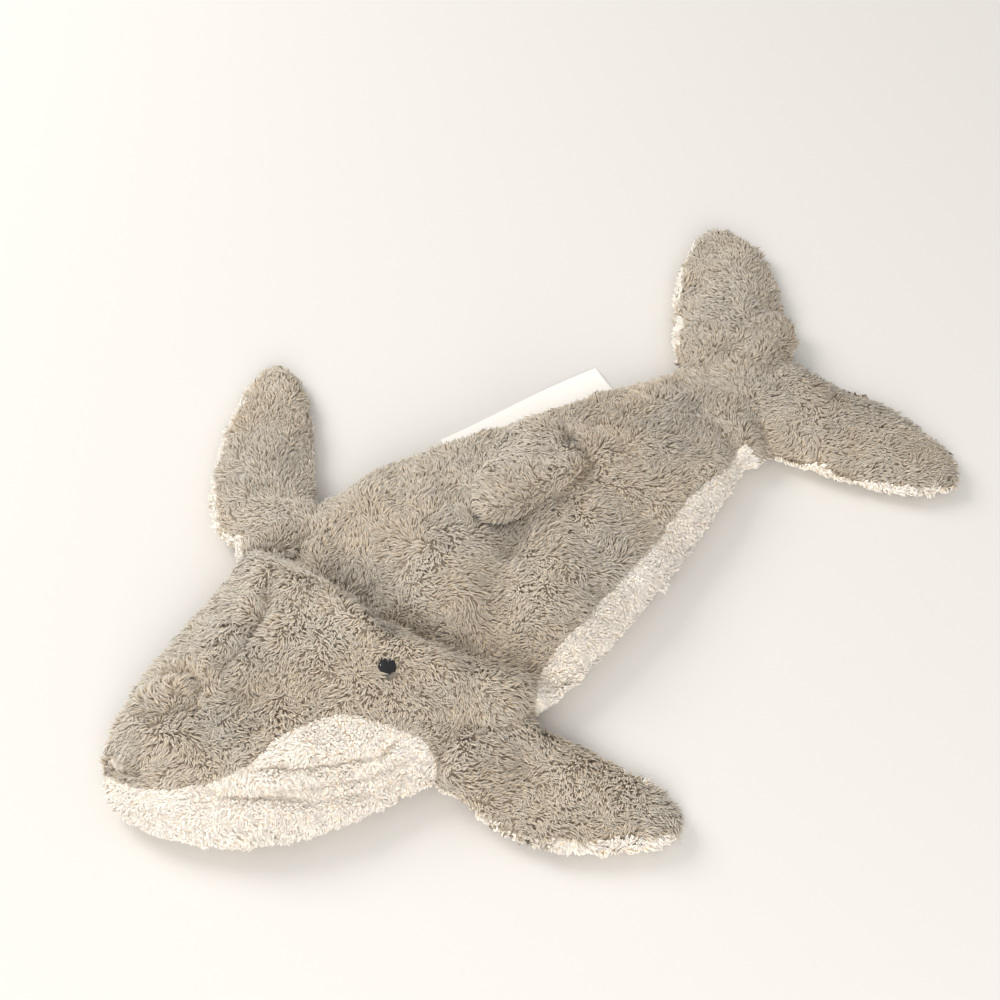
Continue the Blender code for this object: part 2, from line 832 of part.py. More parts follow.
def make_dorsal_fin(torso_skin, clear_of):
    middle = fin_front + fin_length / 2
    top, _ = seat(torso_skin, Vector((fin_side_place, middle, seam_height)), Vector((0.0, 0.0, 1.0)))
    frame = pivot(
        "dorsal_fin_frame",
        (fin_side_place, middle, top.z + fin_bed),
        (fin_slope, -fin_tilt, 0.0),
    )
    rows = [
        (along, fin_height * base, fin_height * free, fin_half_thickness * thick, fin_half_thickness * thick)
        for along, base, free, thick in fin_shares
    ]

    def place_point(along, across, up):
        return Vector((-across, along - fin_length / 2, up))

    above = box("fin_above_cutter", (-cut_reach, -cut_reach, -touch_gap / 2),
                (cut_reach, cut_reach, cut_reach), cutters, parent=frame)
    below = box("fin_below_cutter", (-cut_reach, -cut_reach, -cut_reach),
                (cut_reach, cut_reach, touch_gap / 2), cutters, parent=frame)
    for name, side in (("dorsal_left_panel", below), ("dorsal_right_panel", above)):
        panel = limb(name, rows, frame, whale, plain_levels, place_point, fin_length, look=grey_pile)
        cut(panel, side)
        cut(panel, clear_of)
        shade_smooth(panel)


# The label hangs from its inner long edge, under the far side of the belly.
def make_label(torso_skin):
    height = label_rest + label_thickness
    turned = Matrix.Rotation(label_turn, 4, "Z")
    outward = turned @ Vector((-1.0, 0.0, 0.0))
    ahead = turned @ Vector((0.0, 1.0, 0.0))
    middle = Vector((0.0, label_middle, height))
    reach = 0.0
    steps = 24
    for index in range(steps + 1):
        centre = middle + ahead * (label_length * (index / steps - 1 / 2))
        found = seat(torso_skin, centre, outward)
        if found:
            reach = max(reach, (found[0] - middle).dot(outward))
    hinge = middle + outward * (reach + touch_gap)
    hinge.z = label_rest + label_thickness / 2
    frame = pivot("sewn_label_frame", hinge, (0.0, 0.0, label_turn))
    half = label_length / 2
    box(
        "sewn_label",
        (-label_width, -half, -label_thickness / 2),
        (0.0, half, label_thickness / 2),
        whale, label_cotton, frame,
    )


torso_skin = skin_of(torso_form, "torso_skin")
head_skin = skin_of(head_form, "head_skin")
torso_clear = pillow("torso_clear", torso_form, root_frame, cutters, fine_levels, -touch_gap, -touch_gap)

make_torso()
make_pocket_lip()
make_head()
make_eyes(head_skin)
for thread_name, thread_row in throat_rows.items():
    make_throat_thread(thread_name, thread_row, head_skin)
make_flipper("left", torso_skin, torso_clear)
make_flipper("right", torso_skin, torso_clear)
make_flukes(torso_clear)
make_dorsal_fin(torso_skin, torso_clear)
make_label(torso_skin)
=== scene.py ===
import json
from math import cos, pi, radians, sin

import bpy
import numpy as np
from mathutils import Matrix, Vector
from mathutils.bvhtree import BVHTree
from mathutils.kdtree import KDTree

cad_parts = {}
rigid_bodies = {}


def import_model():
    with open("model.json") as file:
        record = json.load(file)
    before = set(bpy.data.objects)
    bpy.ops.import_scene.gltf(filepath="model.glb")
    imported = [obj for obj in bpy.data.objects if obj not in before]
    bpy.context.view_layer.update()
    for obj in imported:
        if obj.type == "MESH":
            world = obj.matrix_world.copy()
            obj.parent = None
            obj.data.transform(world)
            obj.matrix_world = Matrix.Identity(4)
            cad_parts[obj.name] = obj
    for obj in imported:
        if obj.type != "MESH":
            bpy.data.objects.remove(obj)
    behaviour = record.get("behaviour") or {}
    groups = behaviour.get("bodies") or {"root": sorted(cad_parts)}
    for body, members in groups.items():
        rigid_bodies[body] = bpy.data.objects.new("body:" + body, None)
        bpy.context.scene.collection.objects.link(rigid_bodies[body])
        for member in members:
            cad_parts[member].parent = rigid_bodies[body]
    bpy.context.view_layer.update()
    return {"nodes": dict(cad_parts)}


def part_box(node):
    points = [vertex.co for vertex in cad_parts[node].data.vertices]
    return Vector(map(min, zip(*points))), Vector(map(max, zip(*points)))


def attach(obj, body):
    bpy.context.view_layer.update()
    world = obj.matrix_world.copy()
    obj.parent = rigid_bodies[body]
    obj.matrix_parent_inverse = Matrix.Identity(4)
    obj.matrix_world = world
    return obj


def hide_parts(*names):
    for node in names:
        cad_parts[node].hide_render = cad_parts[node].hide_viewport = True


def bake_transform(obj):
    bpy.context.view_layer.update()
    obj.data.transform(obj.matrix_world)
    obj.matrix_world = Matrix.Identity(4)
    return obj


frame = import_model()


# Small helpers for picking, reading and moving points

def pickNothing():
    for item in bpy.context.view_layer.objects:
        item.select_set(False)


def pickOnly(*things):
    pickNothing()
    for item in things:
        item.select_set(True)
    bpy.context.view_layer.objects.active = things[-1]


def applyModifier(thing, kind, **settings):
    made = thing.modifiers.new(kind.title(), kind)
    for key, value in settings.items():
        setattr(made, key, value)
    pickOnly(thing)
    bpy.ops.object.modifier_apply(modifier=made.name)


def readPoints(thing):
    points = np.empty(len(thing.data.vertices) * 3)
    thing.data.vertices.foreach_get("co", points)
    return points.reshape(-1, 3)


def writePoints(thing, points):
    thing.data.vertices.foreach_set("co", points.astype(np.float32).ravel())
    thing.data.update()


def readNormals(thing):
    normals = np.empty(len(thing.data.vertices) * 3)
    thing.data.vertex_normals.foreach_get("vector", normals)
    return normals.reshape(-1, 3)


def unit(vectors):
    return vectors / (np.linalg.norm(vectors, axis=1)[:, None] + 1e-9)


def smoothStep(low, high, values):
    share = np.clip((values - low) / (high - low), 0.0, 1.0)
    return share * share * (3.0 - 2.0 * share)


def softNoise(points, cell, seed):  # smooth random values, mostly from -1 to 1
    grid = np.random.default_rng(seed).uniform(-1.0, 1.0, (32, 32, 32))
    place = points / cell + 512.0
    corner = np.floor(place).astype(int)
    share = place - corner
    share = share * share * (3.0 - 2.0 * share)
    total = np.zeros(len(points))
    for dx in (0, 1):
        for dy in (0, 1):
            for dz in (0, 1):
                weight = np.abs(1 - dx - share[:, 0]) * np.abs(1 - dy - share[:, 1]) * np.abs(1 - dz - share[:, 2])
                value = grid[(corner[:, 0] + dx) % 32, (corner[:, 1] + dy) % 32, (corner[:, 2] + dz) % 32]
                total += weight * value
    return total * 1.7


def alongLine(points, line):  # distance in plan from a drawn line, and the share of its length passed
    line = np.array(line) / 1000.0
    best = np.full(len(points), 9.0)
    passed = np.zeros(len(points))
    lengths = np.linalg.norm(line[1:] - line[:-1], axis=1)
    run = np.concatenate(([0.0], np.cumsum(lengths)))
    for index in range(len(lengths)):
        step = line[index + 1] - line[index]
        share = np.clip(((points[:, :2] - line[index]) @ step) / (lengths[index] ** 2), 0.0, 1.0)
        away = np.linalg.norm(points[:, :2] - (line[index] + share[:, None] * step), axis=1)
        nearer = away < best
        best = np.where(nearer, away, best)
        passed = np.where(nearer, (run[index] + share * lengths[index]) / run[-1], passed)
    return best, passed


def insidePolygon(points, corners):
    corners = np.array(corners) / 1000.0
    inside = np.zeros(len(points), bool)
    for first, second in zip(corners, np.roll(corners, -1, axis=0)):
        crosses = (first[1] > points[:, 1]) != (second[1] > points[:, 1])
        slope = (second[0] - first[0]) / (second[1] - first[1] + 1e-12)
        inside ^= crosses & (points[:, 0] < slope * (points[:, 1] - first[1]) + first[0])
    return inside


# Finishes

def addSocket(tree, name, way, kind):
    tree.interface.new_socket(name=name, in_out=way, socket_type=kind)


def mixColours(nodes, blend="MIX", factor=0.5):
    made = nodes.new("ShaderNodeMix")
    made.data_type = "RGBA"
    made.blend_type = blend
    made.inputs[0].default_value = factor
    return made


def pileShadeGroup():  # colour of a lock of pile from its root to its tip: the pile's own colour, darkened towards the root as painted shade of the gaps between locks, then by its tone and its patch of cloth
    tree = bpy.data.node_groups.new("pileShade", "ShaderNodeTree")
    for name in ("Root", "Middle", "Tip", "Cool", "Warm"):
        addSocket(tree, name, "INPUT", "NodeSocketColor")
    addSocket(tree, "Colour", "OUTPUT", "NodeSocketColor")
    nodes, links = tree.nodes, tree.links
    into = nodes.new("NodeGroupInput")
    out = nodes.new("NodeGroupOutput")
    uvMap = nodes.new("ShaderNodeUVMap")
    uvMap.uv_map = "OFBake"
    parts = nodes.new("ShaderNodeSeparateXYZ")
    links.new(uvMap.outputs[0], parts.inputs[0])
    lower = nodes.new("ShaderNodeMapRange")
    lower.inputs["From Max"].default_value = 0.45
    upper = nodes.new("ShaderNodeMapRange")
    upper.inputs["From Min"].default_value = 0.40
    links.new(parts.outputs[1], lower.inputs["Value"])
    links.new(parts.outputs[1], upper.inputs["Value"])
    first = mixColours(nodes)
    links.new(lower.outputs[0], first.inputs[0])
    links.new(into.outputs["Root"], first.inputs[6])
    links.new(into.outputs["Middle"], first.inputs[7])
    second = mixColours(nodes)
    links.new(upper.outputs[0], second.inputs[0])
    links.new(first.outputs[2], second.inputs[6])
    links.new(into.outputs["Tip"], second.inputs[7])
    tone = nodes.new("ShaderNodeMapRange")
    tone.inputs["To Min"].default_value = 0.76
    tone.inputs["To Max"].default_value = 1.24
    links.new(parts.outputs[0], tone.inputs["Value"])
    bright = mixColours(nodes, "MULTIPLY", 1.0)
    links.new(second.outputs[2], bright.inputs[6])
    links.new(tone.outputs[0], bright.inputs[7])
    place = nodes.new("ShaderNodeTexCoord")
    patches = nodes.new("ShaderNodeTexNoise")
    patches.inputs["Scale"].default_value = 26.0
    patches.inputs["Detail"].default_value = 2.0
    links.new(place.outputs["Object"], patches.inputs["Vector"])
    spread = nodes.new("ShaderNodeMapRange")
    spread.inputs["From Min"].default_value = 0.38
    spread.inputs["From Max"].default_value = 0.62
    links.new(patches.outputs[0], spread.inputs["Value"])
    tint = mixColours(nodes)
    links.new(spread.outputs[0], tint.inputs[0])
    links.new(into.outputs["Cool"], tint.inputs[6])
    links.new(into.outputs["Warm"], tint.inputs[7])
    tinted = mixColours(nodes, "MULTIPLY", 1.0)
    links.new(bright.outputs[2], tinted.inputs[6])
    links.new(tint.outputs[2], tinted.inputs[7])
    links.new(tinted.outputs[2], out.inputs["Colour"])
    return tree


def clothGrainGroup():  # uneven colour of a cloth or thread, and the height of its grain
    tree = bpy.data.node_groups.new("clothGrain", "ShaderNodeTree")
    for name in ("Dark", "Light"):
        addSocket(tree, name, "INPUT", "NodeSocketColor")
    addSocket(tree, "Scale", "INPUT", "NodeSocketFloat")
    addSocket(tree, "Colour", "OUTPUT", "NodeSocketColor")
    addSocket(tree, "Height", "OUTPUT", "NodeSocketFloat")
    nodes, links = tree.nodes, tree.links
    into = nodes.new("NodeGroupInput")
    out = nodes.new("NodeGroupOutput")
    place = nodes.new("ShaderNodeTexCoord")
    grain = nodes.new("ShaderNodeTexNoise")
    grain.inputs["Detail"].default_value = 5.0
    links.new(place.outputs["Object"], grain.inputs["Vector"])
    links.new(into.outputs["Scale"], grain.inputs["Scale"])
    spread = nodes.new("ShaderNodeMapRange")
    spread.inputs["From Min"].default_value = 0.32
    spread.inputs["From Max"].default_value = 0.68
    links.new(grain.outputs[0], spread.inputs["Value"])
    blended = mixColours(nodes)
    links.new(spread.outputs[0], blended.inputs[0])
    links.new(into.outputs["Dark"], blended.inputs[6])
    links.new(into.outputs["Light"], blended.inputs[7])
    links.new(blended.outputs[2], out.inputs["Colour"])
    links.new(spread.outputs[0], out.inputs["Height"])
    return tree


pileShade = pileShadeGroup()
clothGrain = clothGrainGroup()


def startMaterial(name, roughness, sheen):
    made = bpy.data.materials.new(name)
    made.use_nodes = True
    shader = made.node_tree.nodes["Principled BSDF"]
    shader.inputs["Roughness"].default_value = roughness
    shader.inputs["Specular IOR Level"].default_value = 0.2
    shader.inputs["Sheen Weight"].default_value = sheen
    shader.inputs["Sheen Roughness"].default_value = 0.5
    return made, shader


def pileMaterial(name, colours):
    made, shader = startMaterial(name, 0.85, 0.12)
    shader.inputs["Subsurface Weight"].default_value = 0.6
    shader.inputs["Subsurface Radius"].default_value = (1.0, 0.95, 0.88)
    shader.inputs["Subsurface Scale"].default_value = 0.0012
    group = made.node_tree.nodes.new("ShaderNodeGroup")
    group.node_tree = pileShade
    for key, value in colours.items():
        group.inputs[key].default_value = (*value, 1.0)
    made.node_tree.links.new(group.outputs["Colour"], shader.inputs["Base Color"])
    return made


def clothMaterial(name, dark, light, scale, bump, roughness=0.9):
    made, shader = startMaterial(name, roughness, 0.1)
    nodes, links = made.node_tree.nodes, made.node_tree.links
    group = nodes.new("ShaderNodeGroup")
    group.node_tree = clothGrain
    group.inputs["Dark"].default_value = (*dark, 1.0)
    group.inputs["Light"].default_value = (*light, 1.0)
    group.inputs["Scale"].default_value = scale
    relief = nodes.new("ShaderNodeBump")
    relief.inputs["Strength"].default_value = 0.5
    relief.inputs["Distance"].default_value = bump
    links.new(group.outputs["Colour"], shader.inputs["Base Color"])
    links.new(group.outputs["Height"], relief.inputs["Height"])
    links.new(relief.outputs[0], shader.inputs["Normal"])
    return made


# The Root colours are painted shade of the gaps deep in the pile, darker than the pile's own colour at Middle and Tip
greyPile = pileMaterial("greyPile", {
    "Root": (0.19, 0.150, 0.105),
    "Middle": (0.465, 0.380, 0.290),
    "Tip": (0.725, 0.635, 0.520),
    "Cool": (0.96, 0.985, 1.0),
    "Warm": (1.03, 0.995, 0.94),
})
creamPile = pileMaterial("creamPile", {
    "Root": (0.97, 0.78, 0.59),
    "Middle": (0.99, 0.855, 0.71),
    "Tip": (0.995, 0.89, 0.78),
    "Cool": (1.0, 1.0, 1.0),
    "Warm": (1.0, 0.99, 0.97),
})
# The backing cloths are kept a little darker than their pile, as painted shade where they show in the gaps between the
# locks
greyBacking = clothMaterial("greyBacking", (0.34, 0.29, 0.235), (0.50, 0.435, 0.355), 900.0, 0.0004)
creamBacking = clothMaterial("creamBacking", (0.90, 0.83, 0.73), (0.96, 0.90, 0.82), 900.0, 0.0004)
eyeThread = clothMaterial("eyeThread", (0.006, 0.006, 0.007), (0.020, 0.021, 0.023), 2600.0, 0.0002, 0.55)
stitchThread = clothMaterial("stitchThread", (0.42, 0.35, 0.27), (0.60, 0.52, 0.42), 3000.0, 0.0001)
labelCotton = clothMaterial("labelCotton", (0.94, 0.91, 0.87), (0.985, 0.965, 0.935), 1800.0, 0.0001)
tapeWeave = clothMaterial("tapeWeave", (0.62, 0.57, 0.50), (0.80, 0.76, 0.69), 2400.0, 0.0003)
print("materials made")


# Soft bodies, each one skin drawn over the CAD's own solids

def copiesOf(nodeNames):
    made = []
    for name in nodeNames:
        copied = bpy.data.objects.new(name + "Copy", frame["nodes"][name].data.copy())
        bpy.context.scene.collection.objects.link(copied)
        made.append(copied)
    return made


def filler(place, size, turn=0.0):  # a soft lump that fills out a fold under the cloth
    pickNothing()
    bpy.ops.mesh.primitive_uv_sphere_add(segments=32, ring_count=16, radius=1.0)
    made = bpy.context.active_object
    made.data.transform(Matrix.Translation(place) @ Matrix.Rotation(turn, 4, "Z") @ Matrix.Diagonal((*size, 1.0)))
    return made


def softBody(name, nodeNames, fillers, voxel, smoothing):
    pickOnly(*(copiesOf(nodeNames) + fillers))
    bpy.ops.object.join()
    made = bpy.context.active_object
    made.name = made.data.name = name
    made.data.materials.clear()
    applyModifier(made, "REMESH", mode="VOXEL", voxel_size=voxel)
    applyModifier(made, "SMOOTH", factor=0.5, iterations=smoothing)
    return made


clothValues = {"quality": 4, "pressure": 4.0, "frames": 20, "cap": 0.002}


def swellCloth(skin):  # the cloth fills out over its slack filling, and no point moves further than the cap
    before = readPoints(skin)
    pickOnly(skin)
    cloth = skin.modifiers.new("Cloth", "CLOTH")
    cloth.settings.quality = clothValues["quality"]
    cloth.settings.use_pressure = True
    cloth.settings.uniform_pressure_force = clothValues["pressure"]
    cloth.settings.effector_weights.gravity = 0.0
    for step in range(1, clothValues["frames"] + 1):
        bpy.context.scene.frame_set(step)
    bpy.ops.object.modifier_apply(modifier=cloth.name)
    moved = readPoints(skin) - before
    length = np.linalg.norm(moved, axis=1)
    moved *= (np.minimum(length, clothValues["cap"]) / (length + 1e-9))[:, None]
    writePoints(skin, before + moved)
    bpy.context.scene.frame_set(1)


bodyNodes = {
    "front": [
        "head_top_panel", "jaw_panel", "head_wadding", "back_panel", "belly_front_panel",
        "pouch_upper_cloth", "pouch_lower_cloth", "grain_filling",
    ],
    "rear": ["belly_rear_panel", "stock_wadding", "fluke_top_panel", "fluke_underside_panel", "fluke_wadding"],
}
bodyShape = {
    "voxel": 0.003,
    "smoothing": 6,
    "pileDepth": 0.0014,  # how far the backing cloth lies inside the pile's tips
    "sideRoom": 0.0016,  # what the swelling cloth drew in at the sides, given back
    "headRoom": 0.0016,
    "uneven": ((0.022, 3, 0.0007), (0.011, 4, 0.0006)),  # cell, seed and height of the cloth's own unevenness
    "restHeight": 0.0012,
    "splitPlace": 0.020,
    "neckBlend": (-0.100, -0.052),
    "flukeBlend": (0.104, 0.134),
}
bodySkin = softBody(
    "bodySkin",
    bodyNodes["front"] + bodyNodes["rear"],
    [
        filler((0.030, -0.080, 0.0095), (0.036, 0.017, 0.0170)),
        filler((-0.036, -0.080, 0.0095), (0.036, 0.014, 0.0110)),
        filler((0.0600, -0.0700, 0.0115), (0.017, 0.014, 0.0105), radians(35.0)),
        filler((0.0, 0.120, 0.0085), (0.032, 0.022, 0.0070), radians(-10.3)),
        filler((-0.014, 0.176, 0.0095), (0.013, 0.021, 0.0055), radians(32.0)),
        filler((0.020, 0.165, 0.0095), (0.023, 0.0105, 0.0055), radians(-15.0)),
        filler((0.0273, 0.1685, 0.0090), (0.016, 0.0105, 0.0048), radians(-28.0)),
        filler((0.0254, 0.1154, 0.0085), (0.012, 0.0110, 0.0060)),
    ],
    bodyShape["voxel"],
    bodyShape["smoothing"],
)
print("body skin", len(bodySkin.data.polygons), "faces")

# Lines in plan, in millimetres, of the folds that the cloth has taken, with height and half width in metres
bodyFolds = {
    "neckCrest": ([(-66, -100), (-59, -105), (-20, -91), (16, -82), (46, -67), (62, -57)], 0.0040, 0.0072),
    "neckValley": ([(-70, -84), (-50, -85), (-28, -77), (12, -66), (44, -49), (60, -38)], -0.0060, 0.0082),
    "headRidge": ([(-44, -112), (-36, -128), (-28, -155)], 0.0018, 0.0075),
    "noseKnob": ([(-35, -173), (-28, -165)], 0.0056, 0.0060),
    "noseCreaseFront": ([(-30, -178), (-24, -173), (-18, -166)], -0.0046, 0.0038),
    "noseCreaseRear": ([(-38, -162), (-29, -157), (-20, -158)], -0.0032, 0.0040),
    "mouthCorner": ([(-28, -202), (-20, -199), (-12, -195)], -0.0048, 0.0036),
    "crownTuft": ([(-44, -102), (-38, -110), (-31, -118), (-27, -132), (-22, -146)], -0.0042, 0.0042),
    "cheekDip": ([(8, -110), (0, -128), (-2, -146)], -0.0022, 0.0120),
    "backRidge": ([(18, 4), (37, -16), (54, -44)], 0.0020, 0.0075),
    "backHollow": ([(-2, -4), (12, -22), (26, -42)], -0.0026, 0.0090),
    "finHollow": ([(6, -12), (6, 40)], -0.0030, 0.0070),
    "finCrease": ([(-14, -12), (-6, 4), (-2, 24), (-5, 44)], -0.0034, 0.0045),
}
pleatLines = [  # each with its depth in metres
    ([(21, -162), (31, -150), (40.5, -137), (47, -122), (48, -108)], 0.0036),
    ([(29, -166), (40, -151), (48, -137), (54.5, -119), (57, -107)], 0.0038),
    ([(16, -181), (30, -169), (46, -151), (57, -130), (62, -108)], 0.0036),
]
pleatReach = 0.0028


labelValues = {
    "thickness": 0.0005, "height": 0.0007, "lift": 0.0011, "slide": -0.005, "reach": 0.003, "turn": -10.0,
    "swing": 3.0, "room": 0.0015, "sideRoom": 0.003,
}


def labelFrame():  # the sewn label's directions in plan, and its stretches along them
    corners = readPoints(frame["nodes"]["sewn_label"])
    turn = radians(labelValues["turn"])
    outward, ahead = np.array((-cos(turn), -sin(turn))), np.array((-sin(turn), cos(turn)))
    outs, alongs = corners[:, :2] @ outward, corners[:, :2] @ ahead
    return outward, ahead, outs.min(), outs.max(), alongs.min(), alongs.max()


labelPlace = labelFrame()


def labelRoom(points):  # the height below which the cloth leaves the label room to swing
    outward, ahead, inner, outer, low, high = labelPlace
    out = points[:, :2] @ outward - inner
    along = points[:, :2] @ ahead - labelValues["slide"]
    share = np.clip(out / (outer - inner), 0.0, 1.1)
    height = labelValues["room"] + labelValues["lift"] * 2.0 * share ** 2
    height = height + np.maximum(out, 0.0) * sin(radians(labelValues["swing"]))
    beside = labelValues["sideRoom"]
    return np.where((out > -beside) & (along > low - beside) & (along < high + beside), height, 0.0)


def shapeBody(skin):
    points = readPoints(skin)
    normals = readNormals(skin)
    up = smoothStep(0.10, 0.70, normals[:, 2])
    flat = points * (1.0, 1.0, 0.0)
    lift = np.zeros(len(points))
    for line, height, reach in bodyFolds.values():
        away = alongLine(points, line)[0]
        lift += height * np.exp(-(away / reach) ** 2)
    (wideCell, wideSeed, wideHeight), (fineCell, fineSeed, fineHeight) = bodyShape["uneven"]
    lift += softNoise(flat, wideCell, wideSeed) * wideHeight + softNoise(flat, fineCell, fineSeed) * fineHeight
    points[:, 2] += up * lift
    points -= normals * bodyShape["pileDepth"]
    headShare = 1.0 - smoothStep(-0.11, -0.08, points[:, 1])
    points[:, :2] += normals[:, :2] * (bodyShape["sideRoom"] + bodyShape["headRoom"] * headShare)[:, None]
    side = smoothStep(-0.6, -0.2, normals[:, 2])
    for line, depth in pleatLines:
        away, passed = alongLine(points, line)
        ends = smoothStep(0.0, 0.12, passed) * (1.0 - smoothStep(0.88, 1.0, passed))
        dent = depth * np.exp(-(away / pleatReach) ** 2) * (0.3 + 0.7 * ends) * side
        points -= normals * dent[:, None]
    points[:, 2] = np.maximum(points[:, 2], np.maximum(bodyShape["restHeight"], labelRoom(points) + 0.0004))
    writePoints(skin, points)


swellCloth(bodySkin)
applyModifier(bodySkin, "SUBSURF", levels=1, render_levels=1)
shapeBody(bodySkin)
print("body cloth swollen and shaped")


flipperShape = {
    "voxel": 0.0025,
    "smoothing": 5,
    "unevenCell": 0.020,
    "uneven": 0.0012,
    "pileDepth": 0.0008,
    "blendLine": -0.070,
    "blend": {"left": (0.064, 0.082), "right": (-0.070, -0.088)},
}
finShape = {"voxel": 0.0016, "smoothing": 4, "swell": 0.0021}


def flipperSkin(side, fillers):
    stem = "flipper_" + side
    nodeNames = [stem + "_top_panel", stem + "_underside_panel", stem + "_wadding"]
    name = "flipper" + side.title() + "Skin"
    skin = softBody(name, nodeNames, fillers, flipperShape["voxel"], flipperShape["smoothing"])
    applyModifier(skin, "SUBSURF", levels=1, render_levels=1)
    points = readPoints(skin)
    normals = readNormals(skin)
    lift = softNoise(points * (1.0, 1.0, 0.0), flipperShape["unevenCell"], len(side)) * flipperShape["uneven"]
    points[:, 2] += smoothStep(0.1, 0.7, normals[:, 2]) * lift
    points -= normals * flipperShape["pileDepth"]
    points[:, 2] = np.maximum(points[:, 2], bodyShape["restHeight"])
    writePoints(skin, points)
    return skin


flipperLeftSkin = flipperSkin("left", [
    filler((0.070, -0.086, 0.0115), (0.017, 0.0185, 0.0110), radians(-10.0)),
    filler((0.067, -0.0945, 0.0085), (0.014, 0.0115, 0.0070)),
    filler((0.0730, -0.0690, 0.0100), (0.014, 0.0115, 0.0080)),
])
flipperRightSkin = flipperSkin("right", [
    filler((-0.078, -0.076, 0.0090), (0.017, 0.021, 0.0066), radians(12.0)),
    filler((-0.076, -0.092, 0.0090), (0.010, 0.010, 0.0060)),
])

finSkin = softBody("finSkin", ["dorsal_left_panel", "dorsal_right_panel"], [
    filler((-0.0275, 0.029, 0.0300), (0.0115, 0.0175, 0.0042), radians(14.0)),
    filler((-0.0190, 0.014, 0.0275), (0.0120, 0.0240, 0.0045), radians(10.0)),
], finShape["voxel"], finShape["smoothing"])
applyModifier(finSkin, "SUBSURF", levels=1, render_levels=1)
writePoints(finSkin, readPoints(finSkin) + readNormals(finSkin) * finShape["swell"])
print("soft bodies shaped")


# Where the cloths change from grey to cream: the nearest panel of the CAD decides, but for the near flank's band

def treeOf(nodeNames):
    points, faces = [], []
    for name in nodeNames:
        mesh = frame["nodes"][name].data
        offset = len(points)
        points += [vertex.co.copy() for vertex in mesh.vertices]
        faces += [tuple(index + offset for index in face.vertices) for face in mesh.polygons]
    return BVHTree.FromPolygons(points, faces)


panelTrees = {
    "body": (
        treeOf(["head_top_panel", "back_panel", "fluke_top_panel"]),
        treeOf(["jaw_panel", "belly_front_panel", "belly_rear_panel", "fluke_underside_panel"]),
    ),
    "flipper": (
        treeOf(["flipper_left_top_panel", "flipper_right_top_panel"]),
        treeOf(["flipper_left_underside_panel", "flipper_right_underside_panel"]),
    ),
}
flankLine = [
    (71, -62), (70.8, -54.2), (67.4, -14.7), (61.8, 14.5), (54.8, 46.1), (46.9, 73), (40.1, 96.2), (32.8, 112.4),
]
mouthLine = [
    (-30, -208), (-24, -206.5), (-15, -204), (-6, -199.5), (3, -193), (12, -181.5),
    (18.7, -163), (18.1, -142.5), (25.2, -122.2), (39.7, -110.5), (54, -101),
]
jawArea = mouthLine + [(60, -101), (76, -104), (120, -106), (120, -260), (-30, -260)]


borderValues = {
    "highest": 0.0115,  # of the cream that the CAD's panels give, and how far it may face up
    "steepest": 0.55,
    "lipHeight": 0.0080,
    "noseLip": 0.0065,  # what the lip gains at the nose
    "bandWidth": 0.0130,
    "bandStretch": (-0.060, 0.115),
    "headEnd": -0.079,
    "flukeStart": 0.126,
    "rimFacing": (-0.06, 0.84),
    "rootReach": 0.096,
    "rootHeight": 0.0085,
}


def bandWidth(passed):  # of the cream that shows along the near flank
    return borderValues["bandWidth"] * smoothStep(0.0, 0.14, passed) * (1.0 - 0.5 * smoothStep(0.75, 1.0, passed))


def creamMask(points, facing, part):
    if part == "fin":
        return np.zeros(len(points), bool)
    greyTree, creamTree = panelTrees[part]
    mask = np.array([
        creamTree.find_nearest(point)[3] < greyTree.find_nearest(point)[3] for point in map(Vector, points)
    ])
    mask &= (points[:, 2] < borderValues["highest"]) & (facing[:, 2] < borderValues["steepest"])
    limb = (part == "flipper") | (points[:, 1] > borderValues["flukeStart"])
    ahead, upward = borderValues["rimFacing"]
    rim = limb & (facing[:, 1] < ahead) & (facing[:, 2] < upward)  # the rims of the leading edges
    if part == "flipper":  # but the near flipper's root is grey nearly to the ground
        higher = (points[:, 0] > 0.0) & (points[:, 0] < borderValues["rootReach"])
        higher &= points[:, 2] > borderValues["rootHeight"]
        rim &= ~higher
        mask &= ~higher
    mask |= rim
    if part == "body":
        head = points[:, 1] < borderValues["headEnd"]
        nose = smoothStep(-0.186, -0.204, points[:, 1])
        lipHeight = borderValues["lipHeight"] + borderValues["noseLip"] * nose
        lip = (points[:, 2] < lipHeight) & (facing[:, 2] < 0.35 + 0.3 * (points[:, 1] < -0.19))
        mask = np.where(head, lip | insidePolygon(points, jawArea), mask)
        away, passed = alongLine(points, flankLine)
        start, end = borderValues["bandStretch"]
        mask |= (points[:, 0] > 0.0) & (away < bandWidth(passed)) & (points[:, 1] > start) & (points[:, 1] < end)
    return mask


def paintSkin(skin, part):
    skin.data.materials.append(greyBacking)
    skin.data.materials.append(creamBacking)
    centres = np.empty(len(skin.data.polygons) * 3)
    skin.data.polygons.foreach_get("center", centres)
    facing = np.array([face.normal for face in skin.data.polygons])
    mask = creamMask(centres.reshape(-1, 3), facing, part)
    skin.data.polygons.foreach_set("material_index", mask.astype(np.int32))
    pickOnly(skin)
    bpy.ops.object.shade_smooth()


# Pile: one lock is modelled, then set by the thousand over the skins

def modelLock():  # a three-sided spike with a full middle
    pickNothing()
    bpy.ops.mesh.primitive_cone_add(vertices=3, radius1=0.5, radius2=0.0, depth=1.0, location=(0.0, 0.0, 0.5))
    made = bpy.context.active_object
    bpy.ops.object.transform_apply(location=True, rotation=True, scale=True)
    bpy.ops.object.mode_set(mode="EDIT")
    bpy.ops.mesh.select_all(action="SELECT")
    bpy.ops.mesh.bisect(plane_co=(0.0, 0.0, 0.5), plane_no=(0.0, 0.0, 1.0))
    bpy.ops.transform.resize(value=(2.0, 2.0, 1.0))
    bpy.ops.object.mode_set(mode="OBJECT")
    points = readPoints(made)
    faces = [tuple(face.vertices) for face in made.data.polygons]
    faces = [face for face in faces if max(points[index, 2] for index in face) > 0.1]  # the root's end stays open
    bpy.data.objects.remove(made)
    return points, faces


